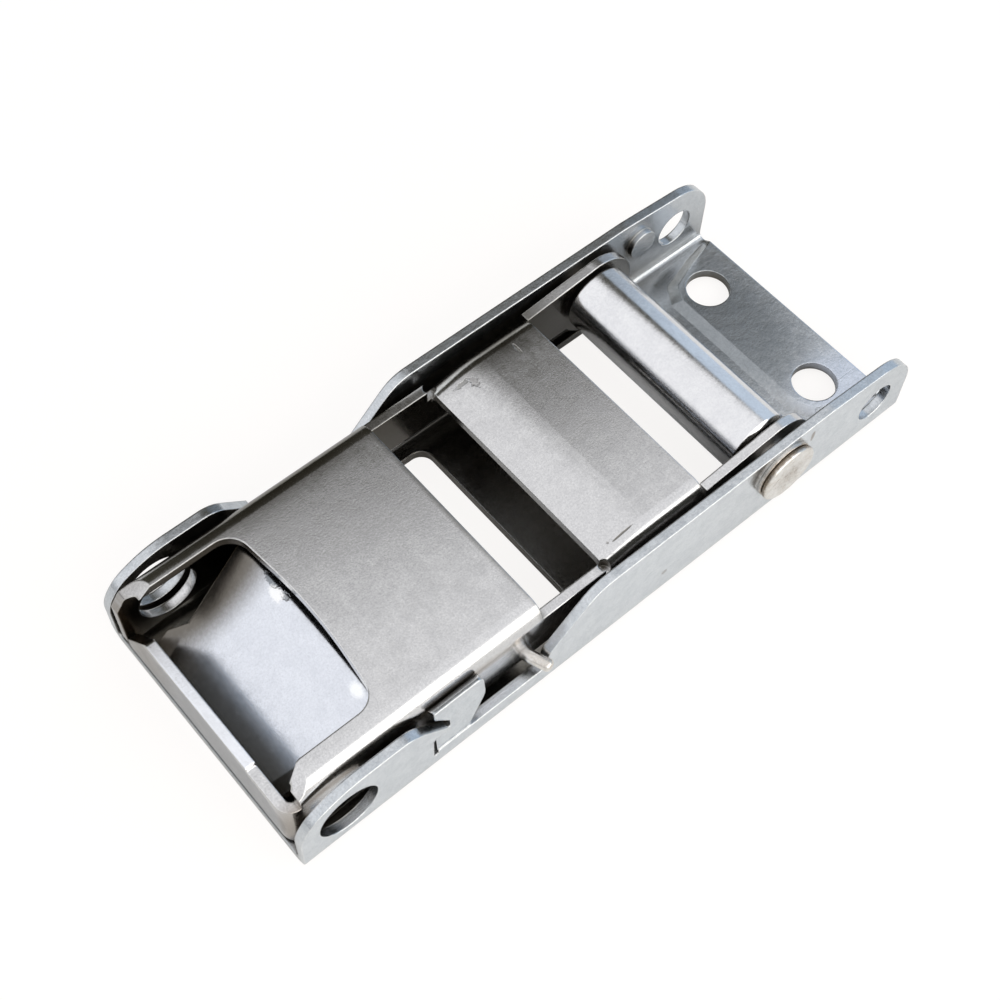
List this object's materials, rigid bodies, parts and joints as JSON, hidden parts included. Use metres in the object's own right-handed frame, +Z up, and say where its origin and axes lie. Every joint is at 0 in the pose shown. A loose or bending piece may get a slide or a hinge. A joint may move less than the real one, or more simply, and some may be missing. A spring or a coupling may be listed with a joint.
{
  "type": "over-centre strap buckle",
  "caption": "Pressed steel over-centre strap buckle with a lever handle, a finger latch and a roller, shown closed.",
  "frame": {"origin": "centre of the bounding box on the surface that the buckle lies on", "axes": "+X along the buckle towards the end plate with two fixing holes, +Y across it along the pivot pin, +Z up from the floor"},
  "size_m": [0.1514, 0.0644, 0.0224],
  "materials": {
    "frame_steel": "bright zinc plated sheet, lightly mottled",
    "handle_steel": "satin zinc plated sheet with fine grain and small nicks",
    "latch_steel": "satin zinc plated sheet",
    "roller_steel": "polished tube",
    "pin_steel": "bright turned steel"
  },
  "bodies": {
    "frame": {"frame": "frame_steel", "pivot_pin": "pin_steel"},
    "handle": {"handle": "handle_steel", "latch_pin": "pin_steel"},
    "latch": {"latch_plate": "latch_steel"},
    "roller": {"roller": "roller_steel"}
  },
  "joints": [
    {"name": "handle_hinge", "type": "hinge", "parent": "frame", "child": "handle", "pos_m": [0.0393, 0, 0.015], "axis": [0, 1, 0], "range_deg": [0, 175]},
    {"name": "roller_spin", "type": "hinge", "parent": "frame", "child": "roller", "pos_m": [0.0393, 0, 0.015], "axis": [0, 1, 0], "continuous": true},
    {"name": "latch_swing", "type": "hinge", "parent": "handle", "child": "latch", "pos_m": [-0.02269, 0, 0.011], "axis": [0, 1, 0], "range_deg": [0, 4], "stiffness_Nm_per_rad": 0.05, "springref_deg": -20.05}
  ]
}
